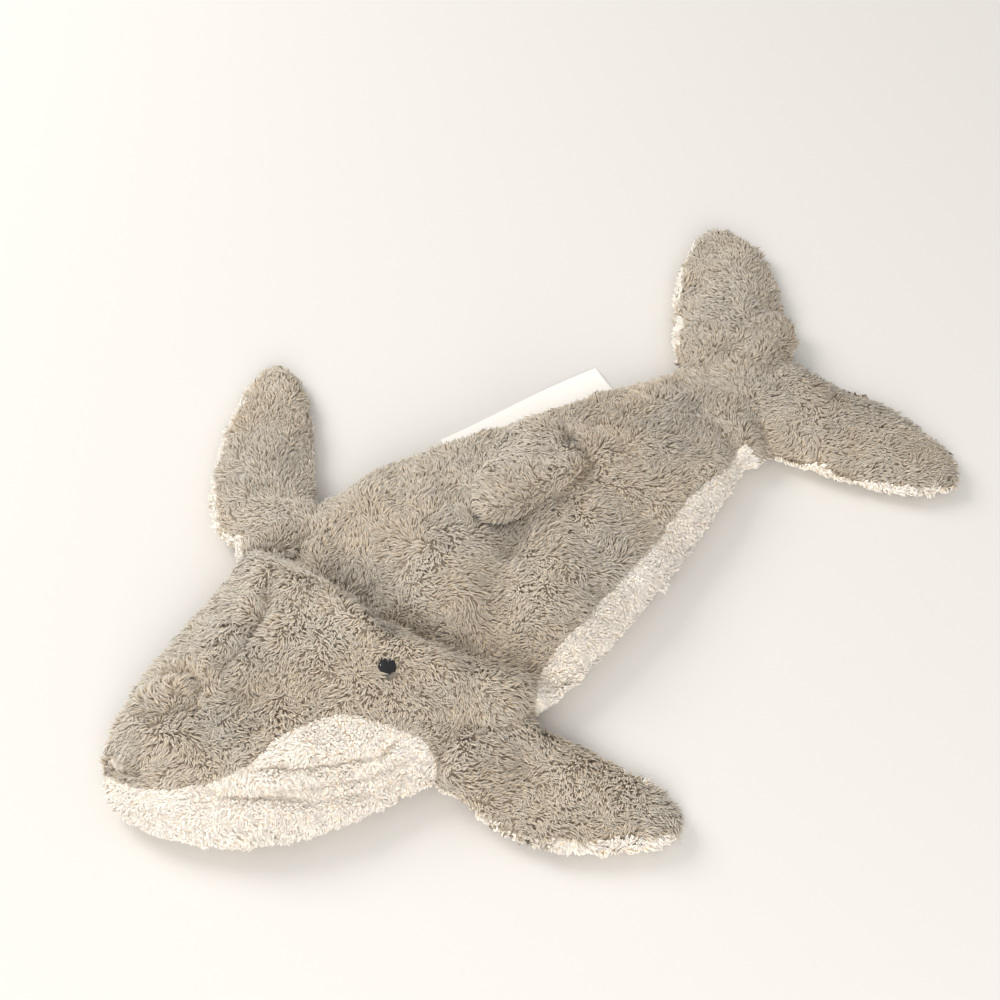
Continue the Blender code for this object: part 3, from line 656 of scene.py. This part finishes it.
lockPoints, lockFaces = modelLock()
lockLoops = np.array([index for face in lockFaces for index in face])
lockStarts = np.cumsum([0] + [len(face) for face in lockFaces])[:-1]
print("lock of", len(lockPoints), "points and", len(lockFaces), "faces")

pileValues = {
    "grey": {
        "density": 1.45e6, "underDensity": 0.7e6, "length": 0.0050, "width": 0.00074, "rise": 44.0, "droop": 0.35,
        "scatter": 0.45, "clump": 0.55, "clumpSize": 6, "toneScatter": 0.13, "even": 0.55,
    },
    "cream": {
        "density": 1.35e6, "underDensity": 0.7e6, "length": 0.0040, "width": 0.00135, "rise": 46.0, "droop": 0.45,
        "scatter": 0.75, "clump": 0.54, "clumpSize": 12, "toneScatter": 0.02, "even": 0.64,
    },
}

whorls = {"nose": ((-0.0230, -0.1810), 0.020), "back": ((-0.016, -0.038), 0.017)}  # places where the pile parts
eyeRadius = 0.0038
eyeClearance = 0.0007
eyePlaces = {}
for side in ("left", "right"):
    low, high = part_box("eye_" + side)
    eyePlaces[side] = (Vector(low) + Vector(high)) / 2
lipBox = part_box("pocket_lip")


def sampleSkin(skin, values, seed):
    mesh = skin.data
    mesh.calc_loop_triangles()
    count = len(mesh.loop_triangles)
    triangles = np.empty(count * 3, np.int32)
    mesh.loop_triangles.foreach_get("vertices", triangles)
    triangles = triangles.reshape(-1, 3)
    points = readPoints(skin)
    normals = readNormals(skin)
    corners = points[triangles]
    outward = np.cross(corners[:, 1] - corners[:, 0], corners[:, 2] - corners[:, 0])
    areas = np.linalg.norm(outward, axis=1) / 2
    under = smoothStep(0.2, 0.7, -outward[:, 2] / (2 * areas + 1e-12))
    density = values["density"] * (1.0 - under) + values["underDensity"] * under
    edges = np.cumsum(areas * density)
    total = int(edges[-1])
    rng = np.random.default_rng(seed)
    picks = np.searchsorted(edges, np.arange(total) + rng.uniform(0.0, 1.0, total))
    picks = np.minimum(picks, count - 1)
    first, second = rng.uniform(0.0, 1.0, (2, total))
    over = first + second > 1.0
    first = np.where(over, 1.0 - first, first)
    second = np.where(over, 1.0 - second, second)
    weights = np.stack((1.0 - first - second, first, second), axis=1)
    places = (points[triangles[picks]] * weights[:, :, None]).sum(axis=1)
    facing = (normals[triangles[picks]] * weights[:, :, None]).sum(axis=1)
    return places, unit(facing), rng


def layDirection(places, facing, part):  # which way the pile lies on each part
    heading = np.zeros_like(places)
    across = places[:, 0] + 0.006
    if part == "body":
        headShare = 1.0 - smoothStep(-0.105, -0.080, places[:, 1])
        heading[:, 0] = np.tanh(across / 0.020) * (0.9 - 0.3 * headShare)
        heading[:, 1] = (0.35 + 0.5 * (places[:, 1] > 0.1)) * (1.0 - headShare) - 0.6 * headShare
        for centre, reach in whorls.values():
            off = places[:, :2] - np.array(centre)
            away = np.linalg.norm(off, axis=1)
            strength = 2.2 * np.exp(-(away / reach) ** 2)
            heading[:, :2] += off / (away[:, None] + 1e-6) * strength[:, None]
    elif part == "fin":
        heading[:, 0] = -0.5
        heading[:, 1] = -0.7
    else:
        heading[:, 0] = np.sign(places[:, 0])
        heading[:, 1] = 0.4
    level = heading - facing * (heading * facing).sum(axis=1)[:, None]
    turn = softNoise(places, 0.017, 21) * 1.1 + softNoise(places, 0.0065, 22) * 0.8
    return unit(level), turn


def pileLengths(places, facing, part, values, rng):
    count = len(places)
    length = values["length"] * rng.uniform(0.70, 1.22, count) * (1.0 + 0.16 * softNoise(places, 0.012, 23))
    length = np.where(rng.uniform(0.0, 1.0, count) < 0.03, length * 1.35, length)  # stray tufts
    if part == "body":  # shorter pile in the pleats and where grey and cream meet
        for line in [line for line, depth in pleatLines] + [mouthLine]:
            away = alongLine(places, line)[0]
            length *= 1.0 - 0.5 * np.exp(-(away / 0.0022) ** 2) * (facing[:, 2] > -0.3)
        away, passed = alongLine(places, flankLine)
        length *= 1.0 - 0.45 * np.exp(-((away - bandWidth(passed)) / 0.0025) ** 2) * (facing[:, 2] > -0.3)
    return length


def pileTonesWithPaintedLight(places, facing, part, values, rng):  # from dark at 0 to light at 1
    tone = 0.5 + 0.15 * softNoise(places, 0.024, 25) + 0.10 * softNoise(places, 0.007, 26)
    if part == "body":  # painted light and shade: the head's far side is painted paler where the key light falls on it, and the bottoms of the folds and pleats are painted darker as shade
        # painted light: paler pile on the head's far side, facing the key light
        tone += 0.20 * smoothStep(0.016, 0.050, -places[:, 0]) * smoothStep(0.085, 0.110, -places[:, 1])
        # painted shade: pile darkened in the bottoms of the fold valleys and creases
        for line, depth, reach in bodyFolds.values():
            away = alongLine(places, line)[0]
            tone -= np.exp(-(away / reach) ** 2) * max(-depth, 0.0) * 50.0 * (facing[:, 2] > 0.0)
        # painted shade: pile darkened along the pleats' grooves
        for line, depth in pleatLines:
            away = alongLine(places, line)[0]
            tone -= depth * 60.0 * np.exp(-(away / 0.0020) ** 2) * (facing[:, 2] > -0.3)
    return np.clip(tone + rng.normal(0.0, values["toneScatter"], len(places)), 0.02, 0.98)


def growPile(name, places, facing, part, look, values, rng):
    count = len(places)
    level, turn = layDirection(places, facing, part)
    turn = turn + rng.normal(0.0, values["scatter"], count)
    length = pileLengths(places, facing, part, values, rng)
    width = values["width"] * rng.uniform(0.75, 1.35, count)
    rise = radians(values["rise"]) + radians(16.0) * softNoise(places, 0.009, 24) + rng.normal(0.0, 0.16, count)
    rise = np.clip(rise, 0.25, 1.5)
    droop = np.clip(rise * values["droop"] + rng.normal(0.0, 0.14, count), -0.2, 1.3)
    leaders = KDTree(count // values["clumpSize"] + 1)
    for index in rng.permutation(count)[:count // values["clumpSize"] + 1]:
        leaders.insert(places[index], int(index))
    leaders.balance()
    led = np.array([leaders.find(place)[1] for place in places])
    side = np.cross(facing, level)
    lay = level * np.cos(turn)[:, None] + side * np.sin(turn)[:, None]
    root = places - facing * 0.0004
    middle = places + facing * (length * 0.5 * np.sin(rise))[:, None] + lay * (length * 0.5 * np.cos(rise))[:, None]
    tip = middle + facing * (length * 0.5 * np.sin(droop))[:, None] + lay * (length * 0.5 * np.cos(droop))[:, None]
    pull = (values["clump"] * rng.uniform(0.5, 1.2, count))[:, None]
    middle = middle + (middle[led] - middle) * pull * 0.45
    tip = tip + (tip[led] - tip) * pull
    lowest = 0.0005 + width * rng.uniform(0.4, 1.0, count)  # pressed flat where it rests on the ground
    for centre in (root, middle, tip):
        centre[:, 2] = np.maximum(centre[:, 2], np.maximum(lowest, labelRoom(centre) + 0.0003))
    across = unit(np.cross(facing, tip - root))
    over = unit(np.cross(tip - root, across))
    spin = rng.uniform(0.0, 2 * pi, count)
    made = np.empty((count, len(lockPoints), 3))
    for index, (x, y, z) in enumerate(lockPoints):
        spunX = (x * np.cos(spin) - y * np.sin(spin)) * width
        spunY = (x * np.sin(spin) + y * np.cos(spin)) * width
        centre = root if z < 0.1 else tip if z > 0.9 else middle
        made[:, index] = centre + (across * spunX[:, None] + over * spunY[:, None]) * (z < 0.9)
    room = labelRoom(made.reshape(-1, 3)).reshape(count, -1)
    made[:, :, 2] = np.maximum(made[:, :, 2], np.maximum(0.0002, room))
    tone = pileTonesWithPaintedLight(places, facing, part, values, rng)
    mesh = bpy.data.meshes.new(name)
    stride = len(lockPoints)
    mesh.vertices.add(count * stride)
    mesh.vertices.foreach_set("co", made.astype(np.float32).ravel())
    loops = (lockLoops[None, :] + (np.arange(count) * stride)[:, None]).ravel()
    starts = (lockStarts[None, :] + (np.arange(count) * len(lockLoops))[:, None]).ravel()
    mesh.loops.add(len(loops))
    mesh.loops.foreach_set("vertex_index", loops.astype(np.int32))
    mesh.polygons.add(len(starts))
    mesh.polygons.foreach_set("loop_start", starts.astype(np.int32))
    mesh.polygons.foreach_set("use_smooth", np.ones(len(starts), bool))
    mesh.update(calc_edges=True)
    uvMap = mesh.uv_layers.new(name="OFBake")
    along = np.clip(lockPoints[lockLoops, 2], 0.01, 0.99)
    table = np.stack((np.repeat(tone, len(lockLoops)), np.tile(along, count)), axis=1)
    uvMap.data.foreach_set("uv", table.astype(np.float32).ravel())
    heights = lockPoints[None, :, 2:]
    outward = made - np.where(heights < 0.1, root[:, None], middle[:, None])
    even = smoothStep(-0.35, 0.25, facing[:, 2]) + smoothStep(0.88, 0.97, -facing[:, 2])
    even = np.repeat(even * values["even"], stride)[:, None]  # the cloth's own slope shows in its pile
    outward = unit(outward.reshape(-1, 3)) * (1.0 - even) + np.repeat(facing, stride, axis=0) * 1.35 * even
    mesh.normals_split_custom_set_from_vertices(unit(outward))
    mesh.materials.append(look)
    made = bpy.data.objects.new(name, mesh)
    bpy.context.scene.collection.objects.link(made)
    return made


def clearPlaces(places, facing):  # no pile on the eyes or over the closing lip
    keep = np.ones(len(places), bool)
    for centre in eyePlaces.values():
        keep &= np.linalg.norm(places - np.array(centre), axis=1) > eyeRadius + eyeClearance
    overLip = (places[:, 0] > lipBox[0][0] - 0.001) & (places[:, 0] < lipBox[1][0] + 0.001)
    overLip &= (places[:, 1] > lipBox[0][1] - 0.001) & (places[:, 1] < lipBox[1][1] + 0.001)
    return keep & ~(overLip & (facing[:, 2] < 0.0) & (places[:, 2] < 0.008))


def dressSkin(skin, part, pieces, seed):  # pieces: name, colour, and the stretch of Y that the piece covers
    made = []
    for colour in ("grey", "cream"):
        values = pileValues[colour]
        places, facing, rng = sampleSkin(skin, values, seed)
        mask = creamMask(places, facing, part)
        keep = (mask if colour == "cream" else ~mask) & clearPlaces(places, facing)
        for name, pieceColour, low, high in pieces:
            if pieceColour != colour:
                continue
            here = keep & (places[:, 1] >= low) & (places[:, 1] < high)
            look = creamPile if colour == "cream" else greyPile
            pile = growPile(name, places[here], facing[here], part, look, values, rng)
            print(name, int(here.sum()), "locks")
            made.append(pile)
    return made


splitPlace = bodyShape["splitPlace"]
neckPlace, flukePlace, farEnd = -0.078, 0.112, 1.0
bodyPiles = dressSkin(bodySkin, "body", [
    ("headGreyPile", "grey", -farEnd, neckPlace),
    ("backFrontPile", "grey", neckPlace, splitPlace),
    ("backRearPile", "grey", splitPlace, flukePlace),
    ("flukeGreyPile", "grey", flukePlace, farEnd),
    ("throatCreamPile", "cream", -farEnd, neckPlace),
    ("bellyFrontPile", "cream", neckPlace, splitPlace),
    ("bellyRearPile", "cream", splitPlace, flukePlace),
    ("flukeCreamPile", "cream", flukePlace, farEnd),
], 31)
frontPiles = [pile for pile in bodyPiles if "Rear" not in pile.name and "fluke" not in pile.name]
rearPiles = [pile for pile in bodyPiles if pile not in frontPiles]
flipperLeftPiles = dressSkin(flipperLeftSkin, "flipper", [
    ("flipperLeftGreyPile", "grey", -farEnd, farEnd), ("flipperLeftCreamPile", "cream", -farEnd, farEnd),
], 32)
flipperRightPiles = dressSkin(flipperRightSkin, "flipper", [
    ("flipperRightGreyPile", "grey", -farEnd, farEnd), ("flipperRightCreamPile", "cream", -farEnd, farEnd),
], 33)
finPiles = dressSkin(finSkin, "fin", [("finGreyPile", "grey", -farEnd, farEnd)], 34)
for skin, part in ((bodySkin, "body"), (flipperLeftSkin, "flipper"), (flipperRightSkin, "flipper"), (finSkin, "fin")):
    paintSkin(skin, part)
print("pile grown")


def halfOf(source, name, keepFront):
    made = source.copy()
    made.data = source.data.copy()
    made.name = made.data.name = name
    bpy.context.scene.collection.objects.link(made)
    pickOnly(made)
    bpy.ops.object.mode_set(mode="EDIT")
    bpy.ops.mesh.select_all(action="SELECT")
    bpy.ops.mesh.bisect(
        plane_co=(0.0, splitPlace, 0.0), plane_no=(0.0, 1.0, 0.0), use_fill=True,
        clear_inner=not keepFront, clear_outer=keepFront,
    )
    bpy.ops.object.mode_set(mode="OBJECT")
    return made


bodyTree = BVHTree.FromPolygons(
    [vertex.co.copy() for vertex in bodySkin.data.vertices], [tuple(face.vertices) for face in bodySkin.data.polygons]
)
frontSkin = halfOf(bodySkin, "frontSkin", True)
rearSkin = halfOf(bodySkin, "rearSkin", False)
bpy.data.objects.remove(bodySkin)


# Eyes: satin stitched rounds, a little uneven, with a nick at the lower front

eyeValues = {
    "height": 0.0011, "ribs": 9, "ribHeight": 0.10, "underside": 2.6,
    "nick": 0.22, "nickTurn": 3.9, "nickReach": 0.22, "lift": {"left": 0.0026, "right": 0.0012},
}


def makeEye(side):
    node = frame["nodes"]["eye_" + side]
    points = readPoints(node)
    axis = Vector(np.linalg.svd(points - points.mean(axis=0))[2][2])
    if axis.z < 0:
        axis = -axis
    pickNothing()
    bpy.ops.mesh.primitive_uv_sphere_add(segments=64, ring_count=32, radius=1.0)
    made = bpy.context.active_object
    made.name = made.data.name = "eye" + side.title()
    points = readPoints(made)
    angle = np.arctan2(points[:, 1], points[:, 0])
    outline = 1.0 + 0.03 * np.cos(3 * angle + 0.6) + 0.02 * np.cos(7 * angle)
    off = np.arctan2(np.sin(angle - eyeValues["nickTurn"]), np.cos(angle - eyeValues["nickTurn"]))
    outline *= 1.0 - eyeValues["nick"] * np.exp(-(off / eyeValues["nickReach"]) ** 2)
    ribs = 1.0 + eyeValues["ribHeight"] * np.cos(points[:, 0] * eyeValues["ribs"] * pi)
    points[:, 0] *= eyeRadius * outline
    points[:, 1] *= eyeRadius * outline
    points[:, 2] = np.sign(points[:, 2]) * np.abs(points[:, 2]) ** 0.7 * eyeValues["height"] * ribs
    points[:, 2] *= np.where(points[:, 2] < 0.0, eyeValues["underside"], 1.0)
    writePoints(made, points)
    found = bodyTree.ray_cast(eyePlaces[side] + axis * 0.02, -axis)
    seat = found[0] if found[0] is not None else eyePlaces[side]
    turn = axis.to_track_quat("Z", "Y").to_matrix().to_4x4()
    made.data.transform(Matrix.Translation(seat + axis * eyeValues["lift"][side]) @ turn)
    made.data.materials.append(eyeThread)
    pickOnly(made)
    bpy.ops.object.shade_smooth()
    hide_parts("eye_" + side)
    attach(made, "head")


for side in eyePlaces:
    makeEye(side)


# Throat stitches: short dashes of thread sunk in the pleats

stitchValues = {"count": 21, "length": 0.0013, "radius": 0.00030, "lift": {"upper": 0.0013, "lower": 0.0004}}


def makeStitches(name):
    node = frame["nodes"]["throat_stitch_" + name]
    points = readPoints(node)
    order = np.argsort(points[:, 1])
    first, last = points[order[:6]].mean(axis=0), points[order[-6:]].mean(axis=0)
    middle = points[np.argsort(np.abs(points[:, 1] - (first[1] + last[1]) / 2))[:6]].mean(axis=0)
    pickNothing()
    bpy.ops.mesh.primitive_cylinder_add(vertices=10, radius=stitchValues["radius"], depth=stitchValues["length"])
    dash = bpy.context.active_object
    bpy.ops.object.mode_set(mode="EDIT")
    bpy.ops.mesh.select_all(action="SELECT")
    bpy.ops.mesh.bevel(offset=stitchValues["radius"] * 0.6, segments=2)
    bpy.ops.object.mode_set(mode="OBJECT")
    made = []
    count = stitchValues["count"]
    for index in range(count):
        share = (index + 0.5) / count
        bow = 4 * share * (1 - share)
        ends = first + (last - first) * share
        place = Vector(ends + (middle - (first + last) / 2) * bow)
        found, normal, _, _ = bodyTree.find_nearest(place)
        heading = Vector(last - first + (middle - (first + last) / 2) * (4 - 8 * share))
        heading -= normal * heading.dot(normal)
        copied = dash.copy()
        copied.data = dash.data.copy()
        bpy.context.scene.collection.objects.link(copied)
        turn = heading.to_track_quat("Z", "Y").to_matrix().to_4x4()
        copied.data.transform(Matrix.Translation(found + normal * stitchValues["lift"][name.split("_")[1]]) @ turn)
        made.append(copied)
    bpy.data.objects.remove(dash)
    pickOnly(*made)
    bpy.ops.object.join()
    row = bpy.context.active_object
    row.name = "throatStitches" + name.title().replace("_", "")
    row.data.name = row.name
    row.data.materials.append(stitchThread)
    bpy.ops.object.shade_smooth()
    points = readPoints(row)
    points[:, 2] = np.maximum(points[:, 2], 0.0003)
    writePoints(row, points)
    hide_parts("throat_stitch_" + name)
    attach(row, "head")


for name in ("left_upper", "left_lower", "right_upper", "right_lower"):
    makeStitches(name)
print("eyes and stitches made")


# Label: a blank white strip of woven cotton

def makeLabel():
    outward, ahead, inner, outer, low, high = labelPlace
    width, length = outer - inner, high - low
    centre = outward * ((outer + inner) / 2 + labelValues["reach"])
    centre = centre + ahead * ((high + low) / 2 + labelValues["slide"])
    pickNothing()
    bpy.ops.mesh.primitive_grid_add(x_subdivisions=20, y_subdivisions=44, size=1.0)
    made = bpy.context.active_object
    made.name = made.data.name = "sewnLabel"
    points = readPoints(made)
    placed = np.zeros_like(points)
    placed[:, :2] = centre + points[:, :1] * width * outward + points[:, 1:2] * length * ahead
    wave = 1.0 + np.sin(points[:, 1] * 5.0 + 0.6)
    placed[:, 2] = labelValues["height"] + labelValues["lift"] * (points[:, 0] + 0.5) ** 2 * wave
    writePoints(made, placed)
    pickOnly(made)
    bpy.ops.object.mode_set(mode="EDIT")
    bpy.ops.mesh.select_all(action="SELECT")
    bpy.ops.mesh.normals_make_consistent(inside=False)
    bpy.ops.object.mode_set(mode="OBJECT")
    applyModifier(made, "SOLIDIFY", thickness=labelValues["thickness"], offset=0.0)
    made.data.materials.append(labelCotton)
    bpy.ops.object.shade_smooth_by_angle(angle=radians(35.0))
    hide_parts("sewn_label")
    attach(made, "label")


makeLabel()


# Closing lip under the belly, with its hem, and the two tapes

def makeLip():
    low, high = Vector(lipBox[0]), Vector(lipBox[1])
    size, centre = high - low, (high + low) / 2
    pickNothing()
    bpy.ops.mesh.primitive_grid_add(x_subdivisions=66, y_subdivisions=24, size=1.0)
    made = bpy.context.active_object
    made.name = made.data.name = "pocketLip"
    points = readPoints(made)
    hem = 1.0 - smoothStep(0.0, 0.09, 0.5 - np.abs(points[:, 0])) * smoothStep(0.0, 0.16, points[:, 1] + 0.5)
    points[:, 2] = centre.z / size.z + 0.10 - 0.22 * hem + 0.05 * softNoise(points, 0.08, 51)
    writePoints(made, points * size + np.array((centre.x, centre.y, 0.0)))
    applyModifier(made, "SOLIDIFY", thickness=size.z * 0.5, offset=0.0)
    made.data.materials.append(creamBacking)
    bpy.ops.object.shade_smooth_by_angle(angle=radians(35.0))
    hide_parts("pocket_lip")
    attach(made, "belly_lip")


makeLip()
for name in ("hook_strip", "loop_strip"):
    strip = frame["nodes"][name]
    strip.data.materials.clear()
    strip.data.materials.append(tapeWeave)
print("label and lip made")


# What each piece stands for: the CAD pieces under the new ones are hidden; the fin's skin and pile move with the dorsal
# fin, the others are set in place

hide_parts(*bodyNodes["front"])
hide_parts(*bodyNodes["rear"])
for side, skin in (("left", flipperLeftSkin), ("right", flipperRightSkin)):
    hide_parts(*["flipper_" + side + "_" + part for part in ("top_panel", "underside_panel", "wadding")])
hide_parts("dorsal_left_panel", "dorsal_right_panel")
for piece in [frontSkin] + frontPiles:
    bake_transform(piece)
for piece in [rearSkin] + rearPiles:
    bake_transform(piece)
for side, pieces in (("left", [flipperLeftSkin] + flipperLeftPiles), ("right", [flipperRightSkin] + flipperRightPiles)):
    for piece in pieces:
        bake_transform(piece)
for piece in [finSkin] + finPiles:
    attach(piece, "dorsal_fin")


# Floor, lights and camera

lampValues = {
    "keyLight": {"place": (-1.2, -0.35, 0.95), "size": 0.9, "energy": 15.5, "colour": (1.0, 0.97, 0.93)},
    "fillLight": {"place": (1.0, -0.9, 0.9), "size": 1.2, "energy": 19.0, "colour": (1.0, 0.98, 0.96)},
}
studioValues = {
    "floorRadius": 1.7,
    "floorColour": (0.69, 0.675, 0.65, 1.0),
    "worldColour": (1.0, 0.985, 0.96, 1.0),
    "worldStrength": 0.66,
    "backgroundStrength": 0.95,  # as the camera sees the world beyond the floor
}


def addLamp(name, place, size, energy, colour):
    data = bpy.data.lights.new(name, "AREA")
    data.shape = "DISK"
    data.size = size
    data.energy = energy
    data.color = colour
    made = bpy.data.objects.new(name, data)
    bpy.context.scene.collection.objects.link(made)
    made.location = place
    made.rotation_euler = (-Vector(place)).to_track_quat("-Z", "Y").to_euler()


pickNothing()
bpy.ops.mesh.primitive_circle_add(vertices=128, radius=studioValues["floorRadius"], fill_type="NGON")
floor = bpy.context.active_object
floor.name = "floor"
floorLook, floorShader = startMaterial("paleFloor", 0.9, 0.0)
floorShader.inputs["Base Color"].default_value = studioValues["floorColour"]
floor.data.materials.append(floorLook)
for name, values in lampValues.items():
    addLamp(name, **values)
world = bpy.data.worlds.new("studio")
bpy.context.scene.world = world
world.use_nodes = True
sky = world.node_tree.nodes["Background"]
sky.inputs["Color"].default_value = studioValues["worldColour"]
seen = world.node_tree.nodes.new("ShaderNodeLightPath")
strength = world.node_tree.nodes.new("ShaderNodeMapRange")
strength.inputs["To Min"].default_value = studioValues["worldStrength"]
strength.inputs["To Max"].default_value = studioValues["backgroundStrength"]
world.node_tree.links.new(seen.outputs["Is Camera Ray"], strength.inputs["Value"])
world.node_tree.links.new(strength.outputs[0], sky.inputs["Strength"])

cameraValues = {"place": (0.3580, -0.3246, 0.6627), "heading": (-0.4647, 0.4039, -0.7880), "lens": 64.8}
cameraData = bpy.data.cameras.new("camera")
cameraData.sensor_width = 36.0
cameraData.lens = cameraValues["lens"]
cameraData.clip_start = 0.01
camera = bpy.data.objects.new("camera", cameraData)
bpy.context.scene.collection.objects.link(camera)
camera.location = cameraValues["place"]
camera.rotation_euler = Vector(cameraValues["heading"]).to_track_quat("-Z", "Y").to_euler()
bpy.context.scene.camera = camera
bpy.context.scene.view_settings.view_transform = "Standard"

bpy.context.view_layer.update()
